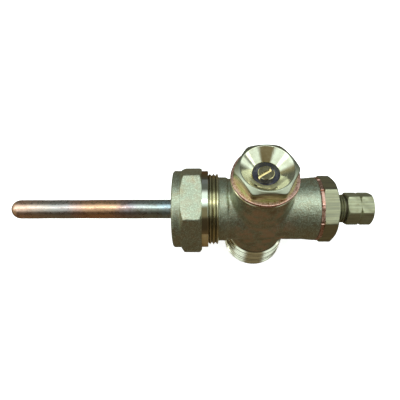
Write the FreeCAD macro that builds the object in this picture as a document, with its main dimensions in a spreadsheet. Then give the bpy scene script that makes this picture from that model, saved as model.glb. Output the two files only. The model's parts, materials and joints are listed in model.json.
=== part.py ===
import FreeCAD, Part
import os
import re

import Sketcher

# A forged brass lockshield valve, angle pattern, with a sensor pocket brazed into its end.
# Every piece is drawn about the point where the main run and the branch cross:
# X along the main run towards the gland, Z up the branch towards the lockshield bonnet.
# Each piece is then lifted by the sheet's axis_height, so that the model's origin is the
# centre of the outlet's end face.

SIZES = {
    # main run of the body
    "axis_height": 31.1,
    "run_radius": 12.9,
    "run_flare_radius": 13.35,
    "run_flare_start": 17.5,
    "run_end": 23.4,
    "run_bore_radius": 9.9,
    "neck_radius": 13.5,
    "neck_end": 13.6,
    "edge_break": 0.4,
    "cut_overrun": 1.0,
    "corner_overrun": 0.1,
    "crotch_fillet": 1.6,
    # 22 mm compression inlet
    "inlet_thread_radius": 14.9,
    "inlet_thread_start": 25.4,
    "inlet_thread_end": 17.1,
    "inlet_pitch": 1.5,
    "inlet_thread_depth": 0.85,
    "pipe_socket_radius": 11.15,
    "pipe_stop": 14.5,
    "mouth_radius": 12.7,
    "mouth_depth": 1.5,
    # branch of the body, above and below the main run
    "branch_radius": 12.4,
    "boss_radius": 13.0,
    "boss_height": 1.8,
    "boss_top": 23.9,
    "lower_boss_radius": 12.6,
    "lower_boss_end": 17.2,
    "relief_radius": 12.05,
    "relief_end": 18.1,
    "outlet_thread_radius": 13.22,
    "outlet_pitch": 1.814,
    "outlet_thread_depth": 1.05,
    "outlet_bore_radius": 9.8,
    "chamber_radius": 9.0,
    "chamber_start": 2.0,
    "chamber_step": 1.0,
    "seat_height": 14.55,
    "seat_floor": 15.4,
    "seat_bore_radius": 6.0,
    "seat_lip_radius": 7.1,
    "seat_foot_radius": 7.3,
    "seat_web_end": 17.6,
    # union nut and its olive
    "nut_across_flats": 32.5,
    "nut_turn": 47.9,
    "nut_outer_end": 35.9,
    "nut_hex_start": 32.45,
    "nut_hex_end": 23.9,
    "nut_skirt_end": 21.2,
    "collar_radius": 16.2,
    "skirt_radius": 16.1,
    "nut_wall_end": 33.5,
    "nut_cone_end": 31.9,
    "nut_cone_radius": 13.3,
    "nut_thread_radius": 14.97,
    "nut_corner_break": 1.35,
    "olive_start": 33.1,
    "olive_end": 27.7,
    "olive_radius": 12.75,
    "olive_edge_radius": 11.6,
    "olive_crown": 1.8,
    # sensor pocket
    "pocket_radius": 4.0,
    "pocket_wall": 0.8,
    "pocket_tip": 105.4,
    "pocket_end": 18.0,
    "braze_leg": 1.3,
    "braze_hollow": 0.43,
    # adapter that closes the right-hand end
    "adapter_across_flats": 24.5,
    "adapter_turn": 34.2,
    "adapter_spigot_radius": 9.85,
    "adapter_spigot_start": 11.5,
    "adapter_hex_start": 24.8,
    "adapter_hex_end": 30.7,
    "adapter_face_radius": 11.6,
    "adapter_chamfer": 1.2,
    "adapter_pocket_bore": 4.05,
    "gland_box_start": 19.5,
    "gland_box_radius": 6.0,
    "end_washer_radius": 13.75,
    "end_washer_bore": 10.0,
    "end_washer_turn": 4.2,
    "nick_half_width": 0.55,
    "nick_depth": 0.5,
    "nick_overrun": 0.3,
    # gland: seal, washer and hollow screw
    "gland_seal_end": 22.9,
    "gland_seal_radius": 5.85,
    "gland_bore_radius": 3.3,
    "gland_washer_start": 26.0,
    "gland_washer_end": 26.8,
    "gland_nose": 26.85,
    "gland_thread_radius": 5.95,
    "gland_pitch": 1.0,
    "gland_thread_depth": 0.55,
    "gland_undercut_radius": 5.3,
    "gland_hex_start": 36.0,
    "gland_hex_end": 46.75,
    "gland_across_flats": 12.4,
    "gland_turn": 45.2,
    "gland_face_radius": 5.45,
    "gland_chamfer": 1.1,
    "gland_mark": 41.45,
    "gland_mark_radius": 6.3,
    "gland_mark_half_width": 0.75,
    # lockshield bonnet
    "bonnet_across_flats": 21.6,
    "bonnet_turn": 1.8,
    "bonnet_top": 30.67,
    "bonnet_hex_start": 25.2,
    "bonnet_face_radius": 10.25,
    "bonnet_chamfer": 1.25,
    "bonnet_foot": 15.4,
    "bonnet_spigot_radius": 9.85,
    "dish_radius": 9.8,
    "dish_floor": 26.9,
    "recess_radius": 5.09,
    "recess_floor": 22.9,
    "stem_bore_radius": 4.05,
    "collar_bore_radius": 5.6,
    "collar_bore_top": 18.2,
    "circlip_groove_radius": 6.15,
    "circlip_low": 16.15,
    "circlip_high": 17.0,
    "top_washer_radius": 12.97,
    "top_washer_bore": 10.0,
    # spindle and what seals and holds it
    "spindle_top": 27.5,
    "spindle_head_radius": 3.1,
    "stem_radius": 4.0,
    "stem_top": 22.7,
    "collar_top": 17.78,
    "collar_foot": 17.05,
    "spindle_collar_radius": 5.4,
    "spindle_thread_radius": 3.0,
    "spindle_foot": 4.6,
    "slot_width": 1.1,
    "slot_depth": 1.7,
    "slot_turn": 32.0,
    "upper_ring_height": 21.35,
    "lower_ring_height": 19.55,
    "ring_section": 0.47,
    "ring_groove_radius": 3.06,
    "ring_clearance": 0.01,
    "ring_groove_half_width": 0.6,
    "packing_bore": 3.15,
    "packing_radius": 5.05,
    "packing_top": 24.4,
    "thrust_washer_low": 17.82,
    "thrust_washer_bore": 4.15,
    "thrust_washer_radius": 5.45,
    "circlip_bore": 4.4,
    "circlip_radius": 6.05,
    "circlip_gap": 3.2,
    "circlip_play": 0.05,
    # carrier and disc
    "carrier_radius": 7.6,
    "carrier_top": 15.0,
    "carrier_foot": 6.3,
    "carrier_nut_radius": 3.06,
    "window_width": 8.6,
    "window_foot": 4.3,
    "window_top": 9.3,
    "disc_radius": 8.3,
    "disc_rim_foot": 8.9,
    "disc_recess_radius": 7.75,
    "disc_recess_top": 7.6,
    "seal_radius": 7.7,
    "seal_bore": 2.2,
    "seal_foot": 9.5,
    "screw_radius": 1.45,
    "screw_hole_radius": 1.5,
    "screw_tip": 4.5,
    "screw_head_radius": 3.1,
    "screw_head_foot": 10.7,
    "screw_slot_width": 0.8,
}

doc = FreeCAD.newDocument("LockshieldValve")
sheet = doc.addObject("Spreadsheet::Sheet", "Sizes")
for row, (size_name, size_value) in enumerate(SIZES.items(), start=1):
    sheet.set(f"A{row}", size_name)
    sheet.set(f"B{row}", str(size_value))
    sheet.setAlias(f"B{row}", size_name)
doc.recompute()

NODES = []
WASHER_CORNERS = 12


def value(expression):
    """What an expression in the sheet's names comes to, in millimetres or degrees."""
    result = sheet.evalExpression(spelled(expression))
    return float(getattr(result, "Value", result))


def spelled(expression):
    """Put the sheet's name before every size used in an expression."""
    return re.sub(r"[a-z_]+", lambda word: "Sizes." * (word[0] in SIZES) + word[0], expression)


def new_body(label):
    """A named piece, lifted from the crossing of the axes to the model's frame."""
    body = doc.addObject("PartDesign::Body", label)
    body.Label = label
    body.setExpression("Placement.Base.z", "Sizes.axis_height")
    NODES.append(body)
    return body


def origin_plane(body, role):
    return next(item for item in body.Origin.OriginFeatures if item.Role == role)


def new_sketch(body, name, role, offset="0"):
    sketch = body.newObject("Sketcher::SketchObject", name)
    sketch.AttachmentSupport = (origin_plane(body, role), [""])
    sketch.MapMode = "FlatFace"
    if offset != "0":
        sketch.setExpression("AttachmentOffset.Base.z", spelled(offset))
    return sketch


def bind(sketch, constraint, expression):
    index = sketch.addConstraint(constraint)
    sketch.setExpression(f"Constraints[{index}]", spelled(expression))


def place_vertex(sketch, line, across, up):
    """Tie a line's first point to the sketch's origin by two sizes."""
    for kind, axis, expression in (("DistanceX", -2, across), ("DistanceY", -1, up)):
        if expression == "0":
            sketch.addConstraint(Sketcher.Constraint("PointOnObject", line, 1, axis))
        else:
            start = Sketcher.Constraint(kind, -1, 1, line, 1, value(expression))
            bind(sketch, start, expression)


def outline(sketch, points):
    """A closed outline of straight lines. Each point is two expressions: across and up."""
    places = [FreeCAD.Vector(value(across), value(up), 0) for across, up in points]
    first = sketch.GeometryCount
    for start, end in zip(places, places[1:] + places[:1]):
        sketch.addGeometry(Part.LineSegment(start, end), False)
    for step in range(len(points)):
        following = (step + 1) % len(points)
        ends_meet = Sketcher.Constraint("Coincident", first + step, 2, first + following, 1)
        sketch.addConstraint(ends_meet)
    for step, (across, up) in enumerate(points):
        place_vertex(sketch, first + step, across, up)


def circle(sketch, radius):
    """A circle about the sketch's origin."""
    index = sketch.addGeometry(Part.Circle(FreeCAD.Vector(), FreeCAD.Vector(0, 0, 1), value(radius)), False)
    sketch.addConstraint(Sketcher.Constraint("Coincident", index, 3, -1, 1))
    bind(sketch, Sketcher.Constraint("Radius", index, value(radius)), radius)


def turned(body, name, points, axis, cut=False):
    """Turn an outline in the XZ plane about the run (H_Axis) or the branch (V_Axis)."""
    sketch = new_sketch(body, name + "_outline", "XZ_Plane")
    outline(sketch, points)
    doc.recompute()
    volume_before = 0.0 if body.Tip is None else body.Tip.Shape.Volume
    kind = "PartDesign::Groove" if cut else "PartDesign::Revolution"
    feature = body.newObject(kind, name)
    feature.Profile = sketch
    feature.ReferenceAxis = (sketch, [axis])
    feature.Angle = 360.0
    doc.recompute()
    check_change(feature, volume_before, cut)
    return feature


def padded(body, name, role, start, length, draw):
    """Raise an outline, drawn by draw(sketch), from an offset origin plane."""
    sketch = new_sketch(body, name + "_outline", role, start)
    draw(sketch)
    doc.recompute()
    volume_before = 0.0 if body.Tip is None else body.Tip.Shape.Volume
    feature = body.newObject("PartDesign::Pad", name)
    feature.Profile = sketch
    feature.setExpression("Length", spelled(length))
    doc.recompute()
    check_change(feature, volume_before, False)
    return feature


def pocketed(body, name, role, start, length, points, both_ways=False, outwards=True):
    """Cut an outline into the piece from an offset origin plane."""
    sketch = new_sketch(body, name + "_outline", role, start)
    outline(sketch, points)
    doc.recompute()
    volume_before = body.Tip.Shape.Volume
    feature = body.newObject("PartDesign::Pocket", name)
    feature.Profile = sketch
    feature.setExpression("Length", spelled(length))
    feature.Midplane = both_ways
    feature.Reversed = outwards and not both_ways
    doc.recompute()
    check_change(feature, volume_before, True)
    return feature


def check_change(feature, volume_before, cut):
    change = feature.Shape.Volume - volume_before
    if (change >= 0.0) if cut else (change <= 0.0):
        raise RuntimeError(f"{feature.Name} changed the volume by {change:.3f}")


def polygon(sides, corner_radius, turn):
    """Corners of a regular polygon, as expressions."""
    step = 360 / sides
    angles = [f"({turn} + {step * side:g})" for side in range(sides)]
    return [
        (f"{corner_radius} * cos{angle}", f"{corner_radius} * sin{angle}") for angle in angles
    ]


def swung(along, aside, turn):
    """A point given along and beside a line that is turned by an angle, as expressions."""
    return (
        f"( {along} ) * cos({turn}) - ( {aside} ) * sin({turn})",
        f"( {along} ) * sin({turn}) + ( {aside} ) * cos({turn})",
    )


def hexagon(across_flats, turn):
    return polygon(6, f"{across_flats} / sqrt(3)", turn)


def box_outline(half_across, low, high):
    return [
        (f"-( {half_across} )", low),
        (half_across, low),
        (half_across, high),
        (f"-( {half_across} )", high),
    ]


def ring_thread(body, name, axis, crest, depth, first, last, pitch):
    """Vee grooves at the thread's pitch, between two places on the axis."""
    turns = round((value(last) - value(first)) / value(pitch)) + 1
    along_run = axis == "H_Axis"
    above = f"{crest} + {depth}"
    half_width = f"2 * {depth} * tan(30)"
    points = [
        (f"{first} - {half_width}", above),
        (first, f"{crest} - {depth}"),
        (f"{first} + {half_width}", above),
    ]
    if not along_run:
        points = [(up, across) for across, up in points]
    groove = turned(body, name, points, axis, cut=True)
    pattern = body.newObject("PartDesign::LinearPattern", name + "_turns")
    pattern.Originals = [groove]
    pattern.Direction = (groove.Profile[0], [axis])
    pattern.setExpression("Length", spelled(f"{pitch} * {turns - 1}"))
    pattern.Occurrences = turns
    body.Tip = pattern
    doc.recompute()
    check_change(pattern, groove.Shape.Volume, True)


def forging_fillet(body):
    """Soften the curves where the branch runs out of the main run."""
    fused = body.Tip
    edges = [
        f"Edge{number}"
        for number, edge in enumerate(fused.Shape.Edges, start=1)
        if edge.Curve.TypeId not in ("Part::GeomCircle", "Part::GeomLine")
    ]
    fillet = body.newObject("PartDesign::Fillet", "forging_fillet")
    fillet.Base = (fused, edges)
    fillet.setExpression("Radius", spelled("crotch_fillet"))
    doc.recompute()
    check_change(fillet, fused.Shape.Volume, False)


def valve_body():
    body = new_body("valve_body")
    turned(body, "main_run", [
        ("-inlet_thread_start", "0"),
        ("-inlet_thread_start", "inlet_thread_radius - edge_break * 2"),
        ("-inlet_thread_start + edge_break * 2", "inlet_thread_radius"),
        ("-inlet_thread_end - edge_break", "inlet_thread_radius"),
        ("-inlet_thread_end", "neck_radius"),
        ("-neck_end", "neck_radius"),
        ("-neck_end + edge_break", "run_radius"),
        ("run_flare_start", "run_radius"),
        ("run_end - edge_break", "run_flare_radius"),
        ("run_end", "run_flare_radius - edge_break"),
        ("run_end", "0"),
    ], "H_Axis")
    turned(body, "branch", [
        ("0", "-axis_height"),
        ("outlet_thread_radius - edge_break * 2", "-axis_height"),
        ("outlet_thread_radius", "-axis_height + edge_break"),
        ("outlet_thread_radius", "-relief_end"),
        ("relief_radius", "-relief_end + edge_break"),
        ("relief_radius", "-lower_boss_end"),
        ("lower_boss_radius", "-lower_boss_end + edge_break"),
        ("branch_radius", "0"),
        ("branch_radius", "boss_top - boss_height"),
        ("boss_radius", "boss_top - boss_height + edge_break * 2"),
        ("boss_radius", "boss_top - edge_break"),
        ("boss_radius - edge_break", "boss_top"),
        ("0", "boss_top"),
    ], "V_Axis")
    forging_fillet(body)
    turned(body, "run_bore", [
        ("-inlet_thread_start - cut_overrun", "0"),
        ("-inlet_thread_start - cut_overrun", "mouth_radius"),
        ("-inlet_thread_start", "mouth_radius"),
        ("-inlet_thread_start + mouth_depth", "pipe_socket_radius"),
        ("-pipe_stop", "pipe_socket_radius"),
        ("-pipe_stop", "run_bore_radius"),
        ("run_end + cut_overrun", "run_bore_radius"),
        ("run_end + cut_overrun", "0"),
    ], "H_Axis", cut=True)
    turned(body, "branch_bore", [
        ("0", "boss_top + cut_overrun"),
        ("run_bore_radius", "boss_top + cut_overrun"),
        ("run_bore_radius", "chamber_start"),
        ("chamber_radius", "chamber_start - chamber_step"),
        ("chamber_radius", "-seat_floor"),
        ("seat_foot_radius", "-seat_floor"),
        ("seat_lip_radius", "-seat_height"),
        ("seat_bore_radius", "-seat_height"),
        ("seat_bore_radius", "-seat_web_end"),
        ("outlet_bore_radius", "-seat_web_end"),
        ("outlet_bore_radius", "-axis_height - cut_overrun"),
        ("0", "-axis_height - cut_overrun"),
    ], "V_Axis", cut=True)
    ring_thread(body, "inlet_thread", "H_Axis", "inlet_thread_radius", "inlet_thread_depth",
                "-inlet_thread_start + inlet_pitch", "-inlet_thread_end", "inlet_pitch")
    ring_thread(body, "outlet_thread", "V_Axis", "outlet_thread_radius", "outlet_thread_depth",
                "-axis_height + outlet_pitch", "-relief_end", "outlet_pitch")


def union_nut():
    body = new_body("union_nut")
    turned(body, "blank", [
        ("-nut_outer_end", "0"),
        ("-nut_outer_end", "collar_radius - edge_break * 2"),
        ("-nut_outer_end + edge_break * 2", "collar_radius"),
        ("-nut_hex_start", "collar_radius"),
        ("-nut_hex_start", "skirt_radius - edge_break"),
        ("-nut_hex_end", "skirt_radius - edge_break"),
        ("-nut_hex_end", "skirt_radius"),
        ("-nut_skirt_end - edge_break", "skirt_radius"),
        ("-nut_skirt_end", "skirt_radius - edge_break"),
        ("-nut_skirt_end", "0"),
    ], "H_Axis")
    padded(body, "hexagon", "YZ_Plane", "-nut_hex_start", "nut_hex_start - nut_hex_end",
           lambda sketch: outline(sketch, hexagon("nut_across_flats", "180 - nut_turn")))
    corner = "nut_across_flats / sqrt(3) + corner_overrun"
    for end, inwards in (("-nut_hex_start", "+"), ("-nut_hex_end", "-")):
        side = "left" if inwards == "+" else "right"
        turned(body, f"{side}_corner_break", [
            (end, "collar_radius"),
            (f"{end} {inwards} nut_corner_break", corner),
            (end, corner),
        ], "H_Axis", cut=True)
    turned(body, "bore", [
        ("-nut_outer_end - cut_overrun", "0"),
        ("-nut_outer_end - cut_overrun", "pipe_socket_radius"),
        ("-nut_wall_end", "pipe_socket_radius"),
        ("-nut_cone_end", "nut_cone_radius"),
        ("-nut_cone_end", "nut_thread_radius"),
        ("-nut_skirt_end + cut_overrun", "nut_thread_radius"),
        ("-nut_skirt_end + cut_overrun", "0"),
    ], "H_Axis", cut=True)


def union_olive():
    body = new_body("union_olive")
    turned(body, "ring", [
        ("-olive_start", "pipe_socket_radius"),
        ("-olive_start", "olive_edge_radius"),
        ("-olive_start + olive_crown", "olive_radius"),
        ("-olive_end - olive_crown", "olive_radius"),
        ("-olive_end", "olive_edge_radius"),
        ("-olive_end", "pipe_socket_radius"),
    ], "H_Axis")


def pocket_core(name, radius, end):
    """A round-ended rod along the run, from the pocket's tip to one end."""
    rod = doc.addObject("Part::Cylinder", name + "_rod")
    rod.setExpression("Radius", spelled(radius))
    rod.setExpression("Height", spelled(f"pocket_tip - pocket_radius + {end}"))
    rod.Placement = FreeCAD.Placement(
        FreeCAD.Vector(value("pocket_radius - pocket_tip"), 0, 0),
        FreeCAD.Rotation(FreeCAD.Vector(0, 1, 0), 90),
    )
    rod.setExpression("Placement.Base.x", spelled("pocket_radius - pocket_tip"))
    tip = doc.addObject("Part::Sphere", name + "_tip")
    tip.setExpression("Radius", spelled(radius))
    tip.setExpression("Placement.Base.x", spelled("pocket_radius - pocket_tip"))
    core = doc.addObject("Part::Fuse", name)
    core.Base = rod
    core.Tool = tip
    return core


def sensor_pocket():
    pocket = doc.addObject("Part::Cut", "sensor_pocket")
    pocket.Base = pocket_core("pocket_outside", "pocket_radius", "pocket_end")
    pocket.Tool = pocket_core("pocket_inside", "pocket_radius - pocket_wall",
                              "pocket_end + cut_overrun")
    pocket.Label = "sensor_pocket"
    pocket.setExpression("Placement.Base.z", "Sizes.axis_height")
    NODES.append(pocket)


def pocket_adapter():
    body = new_body("pocket_adapter")
    turned(body, "spigot", [
        ("adapter_spigot_start", "0"),
        ("adapter_spigot_start", "adapter_spigot_radius - edge_break * 2"),
        ("adapter_spigot_start + edge_break * 2", "adapter_spigot_radius"),
        ("adapter_hex_start", "adapter_spigot_radius"),
        ("adapter_hex_start", "0"),
    ], "H_Axis")
    padded(body, "hexagon", "YZ_Plane", "adapter_hex_start", "adapter_hex_end - adapter_hex_start",
           lambda sketch: outline(sketch, hexagon("adapter_across_flats", "180 - adapter_turn")))
    corner = "adapter_across_flats / sqrt(3) + corner_overrun"
    turned(body, "corner_break", [
        ("adapter_hex_end", "adapter_face_radius"),
        ("adapter_hex_end - adapter_chamfer", corner),
        ("adapter_hex_end", corner),
    ], "H_Axis", cut=True)
    turned(body, "bore", [
        ("adapter_spigot_start - cut_overrun", "0"),
        ("adapter_spigot_start - cut_overrun", "adapter_pocket_bore"),
        ("gland_box_start", "adapter_pocket_bore"),
        ("gland_box_start", "gland_box_radius"),
        ("adapter_hex_end + cut_overrun", "gland_box_radius"),
        ("adapter_hex_end + cut_overrun", "0"),
    ], "H_Axis", cut=True)


def adapter_washer():
    """A copper washer whose twelve-sided edge is nicked at each corner."""
    body = new_body("adapter_washer")
    thickness = "adapter_hex_start - run_end"

    def draw(sketch):
        outline(sketch, polygon(WASHER_CORNERS, "end_washer_radius", "end_washer_turn"))
        circle(sketch, "end_washer_bore")

    padded(body, "disc", "YZ_Plane", "run_end", thickness, draw)
    mouth = "end_washer_radius + nick_overrun"
    nick = pocketed(body, "nick", "YZ_Plane", "run_end", thickness, [
        swung("end_washer_radius - nick_depth", "0", "end_washer_turn"),
        swung(mouth, "-nick_half_width", "end_washer_turn"),
        swung(mouth, "nick_half_width", "end_washer_turn"),
    ])
    nicks = body.newObject("PartDesign::PolarPattern", "nicks")
    nicks.Originals = [nick]
    nicks.Axis = (nick.Profile[0], ["N_Axis"])
    nicks.Angle = 360.0
    nicks.Occurrences = WASHER_CORNERS
    body.Tip = nicks
    doc.recompute()
    check_change(nicks, nick.Shape.Volume, True)


def pocket_braze():
    body = new_body("pocket_braze")
    turned(body, "fillet_ring", [
        ("adapter_spigot_start - braze_leg", "pocket_radius"),
        ("adapter_spigot_start", "pocket_radius"),
        ("adapter_spigot_start", "pocket_radius + braze_leg"),
        ("adapter_spigot_start - braze_hollow", "pocket_radius + braze_hollow"),
    ], "H_Axis")


def plain_ring(label, low, high, bore, radius, axis):
    """A flat ring about one of the two axes."""
    body = new_body(label)
    points = [(low, bore), (high, bore), (high, radius), (low, radius)]
    if axis == "V_Axis":
        points = [(up, across) for across, up in points]
    turned(body, "ring", points, axis)
    return body


def gland_seal():
    plain_ring("gland_seal", "gland_box_start", "gland_seal_end",
               "gland_bore_radius", "gland_seal_radius", "H_Axis")


def gland_washer():
    plain_ring("gland_washer", "gland_washer_start", "gland_washer_end",
               "gland_bore_radius", "gland_seal_radius", "H_Axis")


def gland_screw():
    body = new_body("gland_screw")
    turned(body, "shank", [
        ("gland_nose", "0"),
        ("gland_nose", "gland_thread_radius - edge_break"),
        ("gland_nose + edge_break", "gland_thread_radius"),
        ("gland_hex_start - edge_break * 2", "gland_thread_radius"),
        ("gland_hex_start - edge_break", "gland_undercut_radius"),
        ("gland_hex_start + edge_break", "gland_undercut_radius"),
        ("gland_hex_start + edge_break", "0"),
    ], "H_Axis")
    padded(body, "hexagon", "YZ_Plane", "gland_hex_start", "gland_hex_end - gland_hex_start",
           lambda sketch: outline(sketch, hexagon("gland_across_flats", "180 - gland_turn")))
    corner = "gland_across_flats / sqrt(3) + corner_overrun"
    for end, inwards in (("gland_hex_start", "+"), ("gland_hex_end", "-")):
        side = "left" if inwards == "+" else "right"
        turned(body, f"{side}_corner_break", [
            (end, "gland_face_radius"),
            (f"{end} {inwards} gland_chamfer", corner),
            (end, corner),
        ], "H_Axis", cut=True)
    turned(body, "corner_mark", [
        ("gland_mark - gland_mark_half_width", corner),
        ("gland_mark", "gland_mark_radius"),
        ("gland_mark + gland_mark_half_width", corner),
    ], "H_Axis", cut=True)
    turned(body, "bore", [
        ("gland_nose - cut_overrun", "0"),
        ("gland_nose - cut_overrun", "gland_bore_radius"),
        ("gland_hex_end - edge_break", "gland_bore_radius"),
        ("gland_hex_end", "gland_bore_radius + edge_break"),
        ("gland_hex_end + cut_overrun", "gland_bore_radius + edge_break"),
        ("gland_hex_end + cut_overrun", "0"),
    ], "H_Axis", cut=True)
    ring_thread(body, "thread", "H_Axis", "gland_thread_radius", "gland_thread_depth",
                "gland_nose + gland_pitch", "gland_hex_start - gland_pitch", "gland_pitch")


def lockshield_bonnet():
    body = new_body("lockshield_bonnet")
    turned(body, "spigot", [
        ("0", "bonnet_foot"),
        ("bonnet_spigot_radius - edge_break * 2", "bonnet_foot"),
        ("bonnet_spigot_radius", "bonnet_foot + edge_break * 2"),
        ("bonnet_spigot_radius", "bonnet_hex_start"),
        ("0", "bonnet_hex_start"),
    ], "V_Axis")
    padded(body, "hexagon", "XY_Plane", "bonnet_hex_start", "bonnet_top - bonnet_hex_start",
           lambda sketch: outline(sketch, hexagon("bonnet_across_flats", "bonnet_turn")))
    corner = "bonnet_across_flats / sqrt(3) + corner_overrun"
    turned(body, "corner_break", [
        ("bonnet_face_radius", "bonnet_top"),
        (corner, "bonnet_top - bonnet_chamfer"),
        (corner, "bonnet_top"),
    ], "V_Axis", cut=True)
    turned(body, "dish_and_bore", [
        ("0", "bonnet_top + cut_overrun"),
        ("dish_radius", "bonnet_top + cut_overrun"),
        ("dish_radius", "bonnet_top"),
        ("recess_radius", "dish_floor"),
        ("recess_radius", "recess_floor"),
        ("stem_bore_radius", "recess_floor"),
        ("stem_bore_radius", "collar_bore_top"),
        ("collar_bore_radius", "collar_bore_top"),
        ("collar_bore_radius", "circlip_high"),
        ("circlip_groove_radius", "circlip_high"),
        ("circlip_groove_radius", "circlip_low"),
        ("collar_bore_radius", "circlip_low"),
        ("collar_bore_radius", "bonnet_foot - cut_overrun"),
        ("0", "bonnet_foot - cut_overrun"),
    ], "V_Axis", cut=True)


def bonnet_washer():
    body = new_body("bonnet_washer")
    turned(body, "ring", [
        ("top_washer_bore", "boss_top"),
        ("top_washer_radius - edge_break * 0.6", "boss_top"),
        ("top_washer_radius", "boss_top + edge_break * 0.6"),
        ("top_washer_radius", "bonnet_hex_start - edge_break * 0.6"),
        ("top_washer_radius - edge_break * 0.6", "bonnet_hex_start"),
        ("top_washer_bore", "bonnet_hex_start"),
    ], "V_Axis")


def spindle():
    body = new_body("spindle")
    points = [
        ("0", "spindle_foot"),
        ("spindle_thread_radius - edge_break", "spindle_foot"),
        ("spindle_thread_radius", "spindle_foot + edge_break"),
        ("spindle_thread_radius", "collar_foot"),
        ("spindle_collar_radius", "collar_foot"),
        ("spindle_collar_radius", "collar_top"),
        ("stem_radius", "collar_top"),
    ]
    for ring in ("lower_ring_height", "upper_ring_height"):
        points += [
            ("stem_radius", f"{ring} - ring_groove_half_width"),
            ("ring_groove_radius", f"{ring} - ring_groove_half_width"),
            ("ring_groove_radius", f"{ring} + ring_groove_half_width"),
            ("stem_radius", f"{ring} + ring_groove_half_width"),
        ]
    points += [
        ("stem_radius", "stem_top"),
        ("spindle_head_radius", "stem_top"),
        ("spindle_head_radius", "spindle_top - edge_break / 2"),
        ("spindle_head_radius - edge_break / 2", "spindle_top"),
        ("0", "spindle_top"),
    ]
    turned(body, "stem", points, "V_Axis")
    reach = "spindle_head_radius + cut_overrun"
    signs = [("", ""), ("-", ""), ("-", "-"), ("", "-")]
    pocketed(body, "driver_slot", "XY_Plane", "spindle_top", "slot_depth", [
        swung(f"{along}( {reach} )", f"{aside}( slot_width / 2 )", "slot_turn")
        for along, aside in signs
    ], outwards=False)


def o_ring(label, height):
    """A rubber ring in one of the spindle's grooves."""
    ring = doc.addObject("Part::Torus", label)
    ring.Label = label
    ring.setExpression("Radius1", spelled("ring_groove_radius + ring_section + ring_clearance"))
    ring.setExpression("Radius2", spelled("ring_section"))
    ring.setExpression("Placement.Base.z", spelled(f"axis_height + {height}"))
    NODES.append(ring)


def spindle_packing():
    """The rubber ring that lies in the bonnet's recess, round the spindle's head."""
    plain_ring("spindle_packing", "recess_floor", "packing_top", "packing_bore", "packing_radius", "V_Axis")


def thrust_washer():
    plain_ring("thrust_washer", "thrust_washer_low", "collar_bore_top",
               "thrust_washer_bore", "thrust_washer_radius", "V_Axis")


def spindle_circlip():
    """An internal circlip: an open ring with its gap on the run's side."""
    body = plain_ring("spindle_circlip", "circlip_low + circlip_play", "circlip_high - circlip_play",
                      "circlip_bore", "circlip_radius", "V_Axis")
    reach = "circlip_radius + cut_overrun"
    pocketed(body, "gap", "XY_Plane", "circlip_high", "circlip_high - circlip_low", [
        ("0", "-circlip_gap / 2"),
        (reach, "-circlip_gap / 2"),
        (reach, "circlip_gap / 2"),
        ("0", "circlip_gap / 2"),
    ], outwards=False)


def disc_carrier():
    """The non-turning nut on the spindle. Its window lets the pocket pass through and stops it turning."""
    body = new_body("disc_carrier")
    turned(body, "barrel", [
        ("screw_hole_radius", "-carrier_foot"),
        ("carrier_radius", "-carrier_foot"),
        ("carrier_radius", "carrier_top - edge_break"),
        ("carrier_radius - edge_break", "carrier_top"),
        ("carrier_nut_radius", "carrier_top"),
        ("carrier_nut_radius", "window_foot"),
        ("screw_hole_radius", "window_foot"),
    ], "V_Axis")
    pocketed(body, "window", "YZ_Plane", "0", "carrier_radius * 2 + cut_overrun",
             box_outline("window_width / 2", "-window_foot", "window_top"), both_ways=True)


def valve_disc():
    body = new_body("valve_disc")
    turned(body, "cup", [
        ("screw_hole_radius", "-carrier_foot"),
        ("screw_hole_radius", "-disc_recess_top"),
        ("disc_recess_radius", "-disc_recess_top"),
        ("disc_recess_radius", "-disc_rim_foot"),
        ("disc_radius", "-disc_rim_foot"),
        ("disc_radius", "-carrier_foot - edge_break"),
        ("disc_radius - edge_break", "-carrier_foot"),
    ], "V_Axis")


def disc_seal():
    plain_ring("disc_seal", "-seal_foot", "-disc_recess_top", "seal_bore", "seal_radius", "V_Axis")


def disc_screw():
    body = new_body("disc_screw")
    turned(body, "screw", [
        ("0", "-screw_tip"),
        ("screw_radius", "-screw_tip"),
        ("screw_radius", "-seal_foot"),
        ("screw_head_radius", "-seal_foot"),
        ("screw_head_radius", "-screw_head_foot + edge_break"),
        ("screw_head_radius - edge_break", "-screw_head_foot"),
        ("0", "-screw_head_foot"),
    ], "V_Axis")
    pocketed(body, "slot", "XY_Plane", "-screw_head_foot", "screw_slot_width", [
        ("-screw_head_radius - cut_overrun", "-screw_slot_width / 2"),
        ("screw_head_radius + cut_overrun", "-screw_slot_width / 2"),
        ("screw_head_radius + cut_overrun", "screw_slot_width / 2"),
        ("-screw_head_radius - cut_overrun", "screw_slot_width / 2"),
    ])


valve_body()
union_nut()
union_olive()
sensor_pocket()
pocket_adapter()
adapter_washer()
pocket_braze()
gland_seal()
gland_washer()
gland_screw()
lockshield_bonnet()
bonnet_washer()
spindle()
o_ring("spindle_o_ring_upper", "upper_ring_height")
o_ring("spindle_o_ring_lower", "lower_ring_height")
spindle_packing()
thrust_washer()
spindle_circlip()
disc_carrier()
valve_disc()
disc_seal()
disc_screw()
doc.recompute()

for item in doc.Objects:
    if any(mark in item.State for mark in ("Invalid", "Error")):
        raise RuntimeError(f"{item.Name} did not recompute: {item.State}")

os.makedirs("parts", exist_ok=True)
for node in NODES:
    if node.Shape.isNull() or not node.Shape.isValid() or len(node.Shape.Solids) != 1:
        raise RuntimeError(f"{node.Label} has no single valid solid")
    node.Shape.exportStep(f"parts/{node.Label}.step")
    print(f"{node.Label}: {node.Shape.Volume:.1f} mm3")
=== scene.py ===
import json
import math

import bmesh
import bpy
import numpy as np
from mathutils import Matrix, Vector, noise

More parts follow.
